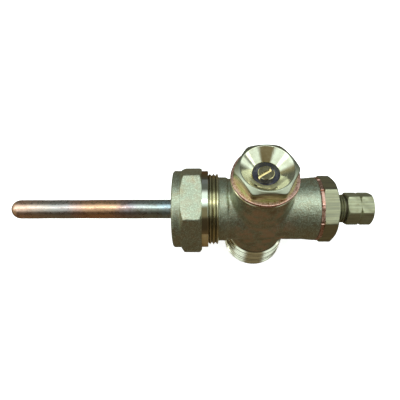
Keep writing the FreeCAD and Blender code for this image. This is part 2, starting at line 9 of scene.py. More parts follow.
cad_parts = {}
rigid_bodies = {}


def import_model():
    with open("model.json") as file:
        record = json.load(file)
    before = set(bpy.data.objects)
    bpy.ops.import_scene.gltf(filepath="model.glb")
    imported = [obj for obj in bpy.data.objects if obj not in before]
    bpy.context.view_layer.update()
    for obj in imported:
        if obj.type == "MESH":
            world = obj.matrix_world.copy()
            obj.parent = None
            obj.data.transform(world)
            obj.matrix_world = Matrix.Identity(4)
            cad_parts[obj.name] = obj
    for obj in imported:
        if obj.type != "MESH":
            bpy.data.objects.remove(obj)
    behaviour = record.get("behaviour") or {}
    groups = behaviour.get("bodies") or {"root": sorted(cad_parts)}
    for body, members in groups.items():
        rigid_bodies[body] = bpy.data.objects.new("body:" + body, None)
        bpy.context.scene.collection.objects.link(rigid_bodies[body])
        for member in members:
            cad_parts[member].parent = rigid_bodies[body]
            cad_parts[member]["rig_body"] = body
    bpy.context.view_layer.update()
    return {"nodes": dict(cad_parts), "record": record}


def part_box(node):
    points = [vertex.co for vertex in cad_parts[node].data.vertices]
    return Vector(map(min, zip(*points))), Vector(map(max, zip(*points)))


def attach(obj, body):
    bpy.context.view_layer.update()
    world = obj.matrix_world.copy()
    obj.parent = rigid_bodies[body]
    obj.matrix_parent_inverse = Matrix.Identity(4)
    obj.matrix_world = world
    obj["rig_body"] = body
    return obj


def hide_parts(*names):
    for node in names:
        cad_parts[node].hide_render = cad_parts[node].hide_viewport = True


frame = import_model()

# The valve's looks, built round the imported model. Lengths are millimetres, and pieces are measured
# from where the run and the branch cross, until a mesh is written in metres from the outlet's face.
MM = 0.001
MOUNTS = {mount["name"]: mount for mount in frame["record"]["mounts"]}
# the sensor's entry lies on the run's axis
RUN_HEIGHT = MOUNTS["sensor_entry"]["pos_m"][2] / MM

TURN = 2 * math.pi

# the longest side of a swept outline, for threads, for hexagons and for plain turned parts
FINE = 0.12
MEDIUM = 0.3
COARSE = 0.6

# radii that several pieces share
PIPE_HOLE = 11.15
SPIGOT = 9.85
WASHER_HOLE = 10.0
OUTLET_BORE = 9.8


# ---------------------------------------------------------------- sizes read from the frame

def points_of(node):
    """The node's CAD points in millimetres, with heights measured from the run's axis."""
    mesh = frame["nodes"][node].data
    flat = np.zeros(len(mesh.vertices) * 3)
    mesh.vertices.foreach_get("co", flat)
    return flat.reshape(-1, 3) / MM - (0, 0, RUN_HEIGHT)


def along_run(points):
    """Place, radius and angle about the run: angle 0 faces the front, -Y, and a quarter turn faces up."""
    return points[:, 0], np.hypot(points[:, 1], points[:, 2]), np.arctan2(points[:, 2], -points[:, 1])


def along_branch(points):
    """Place, radius and angle about the branch: angle 0 faces +X, and a quarter turn faces +Y."""
    return points[:, 2], np.hypot(points[:, 0], points[:, 1]), np.arctan2(points[:, 1], points[:, 0])


def farthest(node, low, high, measure=along_run):
    """Radius and angle of the node's point farthest from its axis between two places along it."""
    slack = 0.01
    place, radius, angle = measure(points_of(node))
    chosen = np.flatnonzero((place > low - slack) & (place < high + slack))
    best = chosen[radius[chosen].argmax()]
    return float(radius[best]), float(angle[best])


def widest(node, low, high, measure=along_run):
    """Only the radius of that point."""
    return farthest(node, low, high, measure)[0]


def ends(node, axis=0):
    """Where a node starts and ends along X (0) or Z (2)."""
    low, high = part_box(node)
    lift = RUN_HEIGHT if axis == 2 else 0
    return low[axis] / MM - lift, high[axis] / MM - lift


# ---------------------------------------------------------------- turned shapes

def soft_min(first, second, width):
    """The smaller of two radii, with the corner between them rounded over about width."""
    gap = np.clip((first - second) / width, -1, 1)
    return np.minimum(first, second) - width * (1 - np.abs(gap)) ** 2 / 4


def smooth_step(value, start, end):
    """0 up to start, 1 from end on, and a smooth change between."""
    share = np.clip((value - start) / (end - start), 0, 1)
    return share * share * (3 - 2 * share)


def flats(angle, corner, corner_angle, blunt, count=6):
    """Radius of a regular bar, given its corners' radius and angle and what is worn off them."""
    half = TURN / count / 2
    power = math.log(2) * corner / blunt
    total = np.zeros_like(angle)
    for side in range(count):
        facing = np.cos(angle - corner_angle - half - side * TURN / count)
        total += np.maximum(facing, 0) ** power
    return corner * math.cos(half) / total ** (1 / power)


def vee(place, crest, pitch, depth, start, end):
    """Radius of a male thread's grooves, which run out smoothly at both ends."""
    turn = (place - start) / pitch % 1
    height = np.clip(1.25 * np.abs(2 * turn - 1) - 0.1, 0, 1)
    inside = smooth_step(place, start - pitch / 4, start + pitch / 2)
    inside = inside * (1 - smooth_step(place, end - pitch / 2, end + pitch / 4))
    return crest - depth * (1 - height) * inside


def rounded(corners):
    """A closed outline of (place, radius, rounding) with each corner turned into a small arc."""
    outline = []
    count = len(corners)
    for index, (place, radius, rounding) in enumerate(corners):
        corner = np.array((place, radius), float)
        if not rounding:
            outline.append(corner)
            continue
        before = np.array(corners[index - 1][:2], float) - corner
        after = np.array(corners[(index + 1) % count][:2], float) - corner
        first = corner + before / np.linalg.norm(before) * rounding
        last = corner + after / np.linalg.norm(after) * rounding
        for share in np.linspace(0, 1, 5):
            outline.append((1 - share) ** 2 * first + 2 * share * (1 - share) * corner + share ** 2 * last)
    return outline


def divided(outline, step):
    """The outline with points added so that none of its sides is longer than step."""
    points = []
    for index, here in enumerate(outline):
        ahead = outline[(index + 1) % len(outline)]
        parts = max(1, math.ceil(np.linalg.norm(ahead - here) / step))
        for part in range(parts):
            points.append(here + (ahead - here) * part / parts)
    return np.array(points)


def run_place(place, radius, angle):
    """Angle 0 faces the front, -Y, and a quarter turn faces up."""
    return np.stack((place, -radius * np.cos(angle), radius * np.sin(angle) + RUN_HEIGHT), -1)


def branch_place(place, radius, angle):
    """Angle 0 faces +X, and a quarter turn faces +Y."""
    return np.stack((radius * np.cos(angle), radius * np.sin(angle), place + RUN_HEIGHT), -1)


def turned(name, corners, put=run_place, steps=360, step=COARSE, shape=None):
    """A closed outline swept round an axis; shape(place, radius, angle) gives the final radius."""
    outline = divided(rounded(corners), step)
    angle = np.arange(steps) * TURN / steps
    place = np.repeat(outline[:, :1], steps, 1)
    radius = np.repeat(outline[:, 1:], steps, 1)
    around = np.repeat(angle[None, :], len(outline), 0)
    if shape:
        radius = shape(place, radius, around)
    points = put(place, radius, around).reshape(-1, 3) * MM
    ring = np.arange(steps)
    faces = []
    for row in range(len(outline)):
        this = row * steps
        following = (row + 1) % len(outline) * steps
        faces.append(np.stack((this + ring, following + ring,
                               following + (ring + 1) % steps, this + (ring + 1) % steps), -1))
    mesh = bpy.data.meshes.new(name)
    mesh.from_pydata(points.tolist(), [], np.concatenate(faces).tolist())
    return finished(name, mesh)


def finished(name, mesh, crease=38):
    """Closes the poles, turns the faces outwards, and shades the mesh smooth between creases."""
    work = bmesh.new()
    work.from_mesh(mesh)
    bmesh.ops.remove_doubles(work, verts=work.verts, dist=1e-7)
    bmesh.ops.dissolve_degenerate(work, edges=work.edges, dist=1e-8)
    bmesh.ops.recalc_face_normals(work, faces=work.faces)
    work.to_mesh(mesh)
    work.free()
    mesh.shade_smooth()
    mesh.set_sharp_from_angle(angle=math.radians(crease))
    piece = bpy.data.objects.new(name, mesh)
    bpy.context.scene.collection.objects.link(piece)
    return piece


def dress(piece, node, material):
    """The piece stands for a CAD node, rides on its body and wears the material."""
    body = frame["nodes"][node]["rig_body"]
    piece.data.materials.clear()
    piece.data.materials.append(material)
    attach(piece, body)
    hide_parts(node)


# ---------------------------------------------------------------- materials

class Nodes:
    """A node tree, with short ways to add nodes and join them."""

    def __init__(self, tree):
        self.tree = tree

    def add(self, kind, **settings):
        node = self.tree.nodes.new(kind)
        for key, value in settings.items():
            setattr(node, key, value)
        return node

    def feed(self, socket, value):
        """Links the socket to another node's output, or sets it to a plain value."""
        if isinstance(value, bpy.types.NodeSocket):
            self.tree.links.new(value, socket)
        else:
            socket.default_value = value

    def math(self, operation, *values):
        node = self.add("ShaderNodeMath", operation=operation)
        for socket, value in zip(node.inputs, values):
            self.feed(socket, value)
        return node.outputs[0]

    def split(self, vector):
        node = self.add("ShaderNodeSeparateXYZ")
        self.feed(node.inputs[0], vector)
        return node.outputs

    def grey(self, value, low, high, from_low=0.0, from_high=1.0, smooth=False):
        """Maps from_low to from_high onto low to high, and holds the value beyond both ends."""
        node = self.add("ShaderNodeMapRange")
        node.interpolation_type = "SMOOTHSTEP" if smooth else "LINEAR"
        self.feed(node.inputs["Value"], value)
        node.inputs["From Min"].default_value = from_low
        node.inputs["From Max"].default_value = from_high
        node.inputs["To Min"].default_value = low
        node.inputs["To Max"].default_value = high
        return node.outputs["Result"]

    def mix(self, share, first, second):
        """Mixes two colours: sockets 0, 6 and 7 take the share and the colours, and output 2 gives one."""
        node = self.add("ShaderNodeMix", data_type="RGBA")
        self.feed(node.inputs[0], share)
        self.feed(node.inputs[6], (*first, 1) if isinstance(first, tuple) else first)
        self.feed(node.inputs[7], (*second, 1) if isinstance(second, tuple) else second)
        return node.outputs[2]


class Recipe(Nodes):
    """A material's node tree; place is the point on the object, in millimetres."""

    def __init__(self, name):
        self.material = bpy.data.materials.new(name)
        self.material.use_nodes = True
        super().__init__(self.material.node_tree)
        self.shader = self.tree.nodes["Principled BSDF"]
        scaled = self.add("ShaderNodeVectorMath", operation="SCALE")
        scaled.inputs["Scale"].default_value = 1 / MM
        self.feed(scaled.inputs[0], self.add("ShaderNodeTexCoord").outputs["Object"])
        self.place = scaled.outputs[0]

    def noise(self, scale, detail=3, roughness=0.6, stretch=(1, 1, 1), shift=(0, 0, 0)):
        """Noise with scale waves per millimetre; stretch packs it closer along each axis."""
        mapped = self.add("ShaderNodeMapping")
        self.feed(mapped.inputs["Vector"], self.place)
        mapped.inputs["Scale"].default_value = stretch
        mapped.inputs["Location"].default_value = shift
        node = self.add("ShaderNodeTexNoise")
        self.feed(node.inputs["Vector"], mapped.outputs[0])
        node.inputs["Scale"].default_value = scale
        node.inputs["Detail"].default_value = detail
        node.inputs["Roughness"].default_value = roughness
        return node.outputs["Fac"]

    def cutter_lines(self, axis):
        """Fine lines round an axis, given as a direction, as a lathe leaves them."""
        stretch = tuple(9.0 if part else 0.35 for part in axis)
        return self.noise(1.0, detail=3, roughness=0.65, stretch=stretch)

    def smears(self, scale):
        """Uneven patches that make a polished surface duller in places."""
        return self.noise(scale, detail=4, shift=(7, 3, 5))

    def ramp(self, value, stops):
        """Colours by a value between 0 and 1, from stops of (value, colour)."""
        node = self.add("ShaderNodeValToRGB")
        self.feed(node.inputs[0], value)
        band = node.color_ramp
        while len(band.elements) < len(stops):
            band.elements.new(0.5)
        for element, (place, colour) in zip(band.elements, sorted(stops)):
            element.position = place
            element.color = (*colour, 1)
        return node.outputs["Color"]

    def bump(self, height, depth, strength, under=None):
        """Adds relief; depth is the real height in millimetres of the whole range."""
        node = self.add("ShaderNodeBump")
        node.inputs["Distance"].default_value = depth * MM
        node.inputs["Strength"].default_value = strength
        self.feed(node.inputs["Height"], height)
        if under is not None:
            self.feed(node.inputs["Normal"], under)
        return node.outputs[0]

    def spread(self, axis):
        """Distance in millimetres from the run's axis (0) or the branch's (2)."""
        along_x, along_y, along_z = self.split(self.place)
        first = self.math("SUBTRACT", along_z, RUN_HEIGHT) if axis == 0 else along_x
        squares = self.math("ADD", self.math("MULTIPLY", first, first),
                            self.math("MULTIPLY", along_y, along_y))
        return self.math("SQRT", squares)

    def tints(self, place, table):
        """Colours along a surface, from a table of (place in millimetres, colour)."""
        first, last = table[0][0], table[-1][0]
        stops = [((spot - first) / (last - first), colour) for spot, colour in table]
        return self.ramp(self.grey(place, 0, 1, first, last), stops)

    def groove_shade(self, colour, rough, thread):
        """Painted shade, darkening the bottom of a thread's grooves; the thread is given as (axis, crest
        radius, depth).
        """
        axis, crest, depth = thread
        painted_shade = self.grey(self.spread(axis), 0.75, 0, crest - depth, crest - depth * 0.5, smooth=True)
        colour = self.mix(painted_shade, colour, (0.075, 0.055, 0.032))
        return colour, self.math("MAXIMUM", rough, self.math("MULTIPLY", painted_shade, 0.5))

    def surface(self, colour, roughness, relief):
        """Joins the three to the shader and gives back the finished material."""
        self.feed(self.shader.inputs["Base Color"], colour)
        self.feed(self.shader.inputs["Roughness"], roughness)
        self.feed(self.shader.inputs["Normal"], relief)
        return self.material

    def metal(self, colour, roughness, relief):
        self.shader.inputs["Metallic"].default_value = 1.0
        return self.surface(colour, roughness, relief)


def forged_brass(name):
    """Hot-forged brass, shot-blasted to an even grain, with oxide in patches and stains in front."""
    recipe = Recipe(name)
    patches = recipe.noise(0.14, detail=5, roughness=0.6)
    mottle = recipe.noise(0.7, detail=3, shift=(5, 2, 9))
    grain = recipe.noise(2.3, detail=1, roughness=0.6)
    colour = recipe.ramp(patches, [(0.34, (0.46, 0.40, 0.25)), (0.50, (0.47, 0.50, 0.37)),
                                   (0.60, (0.51, 0.48, 0.34)), (0.72, (0.52, 0.43, 0.27))])
    colour = recipe.mix(recipe.grey(mottle, 0, 0.5, 0.50, 0.72), colour, (0.40, 0.37, 0.25))
    colour = recipe.mix(recipe.grey(grain, 0, 0.75, 0.46, 0.66), colour, (0.76, 0.84, 0.70))
    place = recipe.split(recipe.place)
    # the stains are on the front, and no farther along the run than the branch's own width
    front = recipe.math("MULTIPLY", recipe.grey(place["Y"], 1, 0, -11, -7),
                        recipe.grey(recipe.math("ABSOLUTE", place["X"]), 1, 0, 9, 15))
    stain = recipe.noise(0.2, detail=3, roughness=0.5, shift=(1, 6, 3))
    red = recipe.math("MULTIPLY", front, recipe.grey(stain, 0, 0.8, 0.46, 0.62))
    colour = recipe.mix(red, colour, (0.80, 0.60, 0.44))
    dark = recipe.math("MULTIPLY", front, recipe.grey(stain, 0.6, 0, 0.36, 0.46))
    colour = recipe.mix(dark, colour, (0.42, 0.33, 0.23))
    rough = recipe.grey(grain, 0.38, 0.50, 0.3, 0.7)
    relief = recipe.bump(recipe.noise(0.5, detail=3), 0.05, 0.6)
    relief = recipe.bump(grain, 0.11, 0.9, relief)
    return recipe.metal(colour, rough, relief)


TURNED_COLOUR = (0.78, 0.70, 0.46)


def turned_brass(name, axis, polish=0.15, colour=TURNED_COLOUR, thread=None):
    """Machined brass: lines follow the cutter round the axis, over a faint uneven tint."""
    recipe = Recipe(name)
    lines = recipe.cutter_lines(axis)
    tint = recipe.noise(0.22, detail=3)
    dark = tuple(part * 0.80 for part in colour)
    light = tuple(min(1, part * 1.12) for part in colour)
    shade = recipe.ramp(tint, [(0.35, dark), (0.65, colour)])
    shade = recipe.mix(recipe.grey(lines, 0, 0.35, 0.35, 0.75), shade, light)
    rough = recipe.grey(recipe.smears(0.8), polish * 0.75, polish * 1.5, 0.3, 0.7)
    relief = recipe.bump(lines, 0.010, 0.7)
    scratches = recipe.noise(1.3, detail=5, roughness=0.7, stretch=(1, 3, 5))
    relief = recipe.bump(scratches, 0.006, 0.5, relief)
    # a given thread gets painted shade at the bottom of its grooves
    if thread:
        shade, rough = recipe.groove_shade(shade, rough, thread)
    return recipe.metal(shade, rough, relief)


# tints across the nut's skirt, from its front (-Y) to its back: partly torch tint and partly painted light
# and shade, with the white band from 3.0 to 4.6 a painted highlight; the golden place in front ends
# between GOLD_FULL and GOLD_GONE
GOLD_FULL = -14.9
GOLD_GONE = -14.7
SKIRT_TINTS_AND_PAINTED_LIGHT = [
    (-16.0, (1.00, 0.80, 0.46)),
    (GOLD_FULL, (1.00, 0.80, 0.46)),
    (GOLD_GONE, (0.60, 0.50, 0.33)),
    (-11.5, (0.68, 0.60, 0.42)),
    (-9.5, (0.82, 0.86, 0.70)),
    (-6.0, (0.82, 0.86, 0.72)),
    (-1.0, (0.82, 0.80, 0.68)),
    (2.2, (0.85, 0.88, 0.80)),
    (3.0, (1.00, 1.00, 1.00)),
    (4.6, (1.00, 1.00, 1.00)),
    (5.2, (0.36, 0.33, 0.27)),
    (7.0, (0.38, 0.26, 0.13)),
    (16.0, (0.42, 0.24, 0.10)),
]


def skirt_brass(name):
    """The nut's skirt: turned brass with bands of torch tint, painted light and painted shade, and a dull
    golden place in front.
    """
    recipe = Recipe(name)
    aside = recipe.split(recipe.place)["Y"]
    ripple = recipe.math("MULTIPLY_ADD", recipe.noise(0.7, detail=3), 0.5, -0.25)
    # the bands across the skirt carry a painted white highlight and painted shade as well as torch tint
    colour = recipe.tints(recipe.math("ADD", aside, ripple), SKIRT_TINTS_AND_PAINTED_LIGHT)
    rubbed = recipe.grey(aside, 0.5, 0, GOLD_FULL, GOLD_GONE)
    rough = recipe.math("ADD", recipe.grey(recipe.smears(0.8), 0.07, 0.13, 0.3, 0.7), rubbed)
    return recipe.metal(colour, rough, recipe.bump(recipe.cutter_lines((1, 0, 0)), 0.01, 0.7))


# radius of the edge where the bonnet's dish meets its top face
DISH_RIM = 9.8


def bonnet_brass(name, top):
    """The bonnet: a polished dish, a duller chamfer, and flats with lines run round them."""
    recipe = Recipe(name)
    radius = recipe.spread(2)
    place = recipe.split(recipe.place)
    top += RUN_HEIGHT
    flat = recipe.math("MULTIPLY", recipe.grey(radius, 0, 1, DISH_RIM, DISH_RIM + 0.15),
                       recipe.grey(place["Z"], 1, 0, top - 2.1, top - 1.2))
    lines = recipe.noise(1.0, detail=3, roughness=0.65, stretch=(0.1, 0.1, 1.1))
    tint = recipe.noise(0.25, detail=4)
    colour = recipe.ramp(tint, [(0.35, (0.72, 0.68, 0.49)), (0.62, (0.88, 0.86, 0.67))])
    warm = recipe.ramp(lines, [(0.38, (0.32, 0.25, 0.12)), (0.48, (0.55, 0.66, 0.36)),
                               (0.56, (0.66, 0.76, 0.44)), (0.66, (0.35, 0.39, 0.20))])
    outside = recipe.grey(radius, 0, 1, DISH_RIM, DISH_RIM + 0.2)
    colour = recipe.mix(outside, colour, (0.50, 0.51, 0.38))
    colour = recipe.mix(flat, colour, warm)
    polished = recipe.grey(recipe.smears(0.6), 0.06, 0.16, 0.3, 0.7)
    rough = recipe.math("MULTIPLY_ADD", outside, 0.24, polished)
    # the dish is dull where its front meets the recess
    foot = recipe.math("MULTIPLY", recipe.grey(radius, 1, 0, 6.6, 8.2, smooth=True),
                       recipe.grey(place["Y"], 1, 0, -4.2, -1.6, smooth=True))
    rough = recipe.math("MULTIPLY_ADD", foot, 0.30, rough)
    turning = recipe.noise(1.0, detail=2, stretch=(0.35, 0.35, 9.0))
    relief = recipe.bump(turning, 0.002, 0.7)
    relief = recipe.bump(recipe.noise(0.45, detail=2, shift=(2, 4, 1)), 0.035, 0.8, relief)
    relief = recipe.bump(recipe.math("MULTIPLY", lines, flat), 0.04, 0.8, relief)
    return recipe.metal(colour, rough, relief)


def drawn_brass(name, polish=0.33, thread=None):
    """Drawn hexagon bar along X: long straight draw lines, softly dulled."""
    recipe = Recipe(name)
    lines = recipe.noise(1.0, detail=3, roughness=0.6, stretch=(0.06, 1.3, 1.3))
    spots = recipe.noise(0.4, detail=5, roughness=0.65)
    colour = recipe.ramp(lines, [(0.36, (0.39, 0.39, 0.28)), (0.50, (0.48, 0.47, 0.31)),
                                 (0.64, (0.56, 0.56, 0.38))])
    colour = recipe.mix(recipe.grey(spots, 0, 0.5, 0.5, 0.75), colour, (0.42, 0.36, 0.22))
    rough = recipe.grey(spots, polish * 0.85, polish * 1.5, 0.3, 0.7)
    relief = recipe.bump(lines, 0.02, 0.6)
    relief = recipe.bump(recipe.noise(1.4, detail=3), 0.006, 0.5, relief)
    # a given thread gets painted shade at the bottom of its grooves
    if thread:
        colour, rough = recipe.groove_shade(colour, rough, thread)
    return recipe.metal(colour, rough, relief)


# heat colours along the sensor pocket, by the distance from the crossing of the axes
HEAT_COLOURS = [
    (-105.0, (0.97, 0.65, 0.49)),
    (-100.0, (0.97, 0.61, 0.47)),
    (-96.0, (0.88, 0.61, 0.48)),
    (-92.0, (0.75, 0.61, 0.53)),
    (-86.0, (0.65, 0.60, 0.56)),
    (-81.0, (0.65, 0.57, 0.55)),
    (-77.0, (0.81, 0.52, 0.43)),
    (-72.0, (0.94, 0.55, 0.35)),
    (-66.0, (0.96, 0.55, 0.33)),
    (-61.0, (0.94, 0.56, 0.36)),
    (-57.0, (0.68, 0.47, 0.43)),
    (-54.0, (0.57, 0.48, 0.52)),
    (-50.0, (0.57, 0.57, 0.55)),
    (-44.0, (0.52, 0.59, 0.56)),
    (-40.0, (0.52, 0.64, 0.70)),
    (-36.0, (0.57, 0.69, 0.75)),
]


def heat_tinted_copper(name):
    """Drawn copper tube with the temper colours that the brazing torch left along it."""
    recipe = Recipe(name)
    drift = recipe.math("MULTIPLY_ADD", recipe.noise(0.13, detail=3), 9.0, -4.5)
    ripple = recipe.math("MULTIPLY_ADD", recipe.noise(0.9, detail=4), 3.0, -1.5)
    place = recipe.math("ADD", recipe.math("ADD", recipe.split(recipe.place)["X"], drift), ripple)
    colour = recipe.tints(place, HEAT_COLOURS)
    blotches = recipe.noise(0.55, detail=5, roughness=0.75, stretch=(0.6, 1, 1), shift=(3, 1, 8))
    colour = recipe.mix(recipe.grey(blotches, 0, 0.6, 0.52, 0.72), colour, (0.30, 0.17, 0.13))
    rough = recipe.grey(recipe.noise(0.7, detail=4, shift=(1, 9, 2)), 0.22, 0.40, 0.3, 0.7)
    relief = recipe.bump(recipe.noise(1.0, detail=4, stretch=(0.2, 4, 4)), 0.012, 0.6)
    return recipe.metal(colour, rough, relief)


def soft_copper(name, rim):
    """Soft copper washer, with a bright rim, given as (axis, radius), and yellow-brown faces."""
    recipe = Recipe(name)
    marks = recipe.noise(1.2, detail=5, roughness=0.7)
    colour = recipe.ramp(marks, [(0.3, (0.50, 0.23, 0.16)), (0.52, (0.80, 0.47, 0.38)),
                                 (0.72, (0.92, 0.68, 0.60))])
    axis, radius = rim
    face = recipe.grey(recipe.spread(axis), 0.9, 0, radius - 1.7, radius - 1.3)
    colour = recipe.mix(face, colour, (0.66, 0.54, 0.29))
    rough = recipe.grey(marks, 0.20, 0.42, 0.3, 0.7)
    relief = recipe.bump(marks, 0.05, 0.8)
    return recipe.metal(colour, rough, relief)


def silver_braze(name):
    """Silver solder that has run into a smooth, pale yellow fillet."""
    recipe = Recipe(name)
    flow = recipe.noise(0.8, detail=4)
    colour = recipe.ramp(flow, [(0.3, (0.62, 0.56, 0.40)), (0.7, (0.84, 0.80, 0.66))])
    return recipe.metal(colour, recipe.grey(flow, 0.25, 0.45), recipe.bump(flow, 0.08, 0.6))


def dull_steel(name):
    """Dark, oiled spring steel."""
    recipe = Recipe(name)
    grain = recipe.noise(2.0, detail=4)
    colour = recipe.ramp(grain, [(0.3, (0.18, 0.18, 0.19)), (0.7, (0.32, 0.32, 0.34))])
    return recipe.metal(colour, recipe.grey(grain, 0.35, 0.55), recipe.bump(grain, 0.01, 0.5))


def moulded(name, dark, light, roughness):
    """A matt rubber or plastic with a faint moulded grain."""
    recipe = Recipe(name)
    grain = recipe.noise(1.6, detail=4)
    colour = recipe.ramp(grain, [(0.3, dark), (0.7, light)])
    rough = recipe.grey(grain, roughness - 0.08, roughness + 0.08)
    return recipe.surface(colour, rough, recipe.bump(grain, 0.02, 0.5))


# ---------------------------------------------------------------- pieces along the run

def make_union_nut(forged, machined):
    """Forged nut: round collar at the pipe's side, hexagon with turned corners, machined skirt."""
    low, high = ends("union_nut")
    collar_end = low + 3.45
    hex_end = high - 2.7
    collar = widest("union_nut", low + 0.5, collar_end - 0.3)
    skirt = widest("union_nut", hex_end + 1, high - 0.2)
    corner, corner_angle = farthest("union_nut", collar_end, hex_end)
    thread = skirt - 1.15
    seat = 13.3
    seat_start = low + 2.4
    corners = [
        (low, PIPE_HOLE, 0.4), (low, collar - 0.6, 0.5), (low + 0.5, collar, 0.5),
        (collar_end, collar, 0.25), (collar_end, corner - 2.3, 0.2), (collar_end + 1.5, corner, 0.4),
        (hex_end - 0.9, corner, 0.3), (hex_end, corner - 1.5, 0.25), (hex_end, thread, 0.1),
        (seat_start, thread, 0.3), (low + 4.0, seat, 0.1), (seat_start, PIPE_HOLE, 0.1),
    ]

    def shape(place, radius, angle):
        bar = flats(angle, corner, corner_angle, 0.15)
        inside = (place > collar_end - 0.02) & (place < hex_end + 0.02) & (radius > skirt + 0.06)
        cut = soft_min(radius, bar, 0.35)
        floor = np.where(place < collar_end + 0.5, 0, skirt)
        return np.where(inside, np.maximum(cut, floor), radius)

    piece = turned("union_nut_forging", corners, steps=480, step=MEDIUM, shape=shape)
    dress(piece, "union_nut", forged)
    corners = [
        (hex_end - 0.2, thread - 0.02, 0), (hex_end - 0.2, skirt - 0.2, 0),
        (hex_end + 0.05, skirt, 0.1), (high - 0.25, skirt, 0.1),
        (high, skirt - 0.3, 0.1), (high, thread - 0.02, 0.15),
    ]
    ring = turned("union_nut_skirt", corners, step=MEDIUM)
    ring.data.materials.append(machined)
    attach(ring, "union_nut")


def make_olive(material):
    """Ring with a rounded crown, which the nut presses onto the pipe."""
    low, high = ends("union_olive")
    crown = widest("union_olive", low, high)
    middle = (low + high) / 2
    bore = PIPE_HOLE - 0.05
    rim = bore + 0.5
    corners = [
        (low, bore, 0.1), (low, rim, 0.15), (middle - 0.9, crown, 0.4),
        (middle + 0.9, crown, 0.4), (high, rim, 0.15), (high, bore, 0.1),
    ]
    dress(turned("compression_olive", corners, steps=180), "union_olive", material)


def make_pocket(material):
    """Drawn tube with a spun, nearly round end, open at the gland."""
    low, high = ends("sensor_pocket")
    nut_face = -36.0
    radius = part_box("sensor_pocket")[1][1] / MM
    wall = 0.8
    outer = [(low + radius * (1 - math.cos(turn)), radius * math.sin(turn), 0)
             for turn in np.linspace(0, math.pi / 2, 14)]
    inner = [(low + radius - (radius - wall) * math.cos(turn), (radius - wall) * math.sin(turn), 0)
             for turn in np.linspace(math.pi / 2, 0, 8)]
    corners = outer + [(high, radius, 0.1), (high, radius - wall, 0.1)] + inner

    def shape(place, here, angle):
        wander = 0.035 * np.sin(place * 0.11 + 1) + 0.02 * np.sin(place * 0.43 + 2 * angle)
        outside = (here > radius - 0.1) & (place < nut_face)
        return here * (1 + wander / radius * outside * smooth_step(place, low + 2, low + 12))

    piece = turned("copper_sensor_pocket", corners, steps=96, step=0.8, shape=shape)
    dress(piece, "sensor_pocket", material)


def make_adapter(material):
    """Hexagon plug with a plain spigot; it is bored for the pocket, and wider for the gland."""
    low, high = ends("pocket_adapter")
    hex_start = ends("adapter_washer")[1]
    corner, corner_angle = farthest("pocket_adapter", hex_start, high)
    pocket_hole = 4.05
    gland_bore = 5.98
    gland_floor = 19.5
    corners = [
        (low, pocket_hole, 0.1), (low, SPIGOT - 0.35, 0.3), (low + 0.5, SPIGOT, 0.2),
        (hex_start, SPIGOT, 0.1), (hex_start, corner - 0.5, 0.2), (hex_start + 0.4, corner, 0.2),
        (high - 1.15, corner, 0.2), (high, corner - 2.0, 0.25),
        (high, gland_bore + 0.32, 0.25), (high - 0.6, gland_bore, 0.1),
        (gland_floor, gland_bore, 0.1), (gland_floor, pocket_hole, 0.1),
    ]

    def shape(place, radius, angle):
        bar = flats(angle, corner, corner_angle, 0.15)
        outside = (place > hex_start - 0.01) & (radius > SPIGOT + 0.05)
        return np.where(outside, soft_min(radius, bar, 0.2), radius)

    piece = turned("pocket_adapter_hexagon", corners, steps=480, step=MEDIUM, shape=shape)
    dress(piece, "pocket_adapter", material)


def make_end_washer(material):
    """Soft washer pressed out of shape, nicked at each corner and flat of the adapter's hexagon."""
    low, high = ends("adapter_washer")
    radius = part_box("adapter_washer")[1][1] / MM
    corner_angle = farthest("pocket_adapter", high, high + 4)[1]
    nicks = 12
    corners = [
        (low, WASHER_HOLE, 0.1), (low, radius, 0.35), (high, radius, 0.35), (high, WASHER_HOLE, 0.1),
    ]

    def shape(place, here, angle):
        outer = flats(angle, radius, corner_angle, 0.15, nicks)
        off_nick = ((angle - corner_angle) * nicks / TURN + 0.5) % 1 - 0.5
        nick = 0.45 * np.exp(-off_nick ** 2 * 900)
        wave = 0.06 * np.sin(5 * angle + 1) + 0.04 * np.sin(11 * angle)
        return np.where(here > WASHER_HOLE + 1, here * outer / radius - nick + wave - 0.1, here)

    piece = turned("crushed_copper_washer", corners, steps=480, step=MEDIUM, shape=shape)
    dress(piece, "adapter_washer", material)


def make_gland_screw():
    """Hollow screw: a threaded shank, a neck, and a hexagon with a vee mark round its corners."""
    low, high = ends("gland_screw")
    hex_start = 36.0
    mark = 41.45
    mark_radius = 6.12
    bore = 3.3
    depth = 0.6
    pitch = 1.0
    crest = widest("gland_screw", low, hex_start - 0.5)
    corner, corner_angle = farthest("gland_screw", hex_start, high)
    corners = [
        (low, bore, 0.15), (low, crest - 1.2, 0.2), (low + 0.9, crest, 0.2),
        (hex_start, crest, 0), (hex_start + 0.02, corner - 0.8, 0.15), (hex_start + 0.7, corner, 0.2),
        (high - 0.7, corner, 0.2), (high, corner - 0.9, 0.2),
        (high, bore + 0.3, 0.2), (high - 0.3, bore, 0.1),
    ]

    def shape(place, radius, angle):
        bar = flats(angle, corner, corner_angle, 0.12)
        nick = mark_radius + 1.6 * np.abs(place - mark)
        bar = soft_min(bar, nick, 0.1)
        head = (place > hex_start + 0.01) & (radius > bore + 1)
        shank = (place < hex_start + 0.001) & (radius > crest - 0.4)
        screw = vee(place, crest, pitch, depth, low + 1, hex_start - 1)
        neck = crest - 0.7 * smooth_step(place, hex_start - 1.1, hex_start - 0.9)
        radius = np.where(shank, np.minimum(radius, np.minimum(screw, neck)), radius)
        return np.where(head, soft_min(radius, bar, 0.12), radius)

    piece = turned("gland_screw_hollow", corners, step=FINE, shape=shape)
    # the screw's thread gets painted shade at the bottom of its grooves
    dress(piece, "gland_screw", drawn_brass("gland_brass", polish=0.50, thread=(0, crest, depth)))


# ---------------------------------------------------------------- pieces up the branch

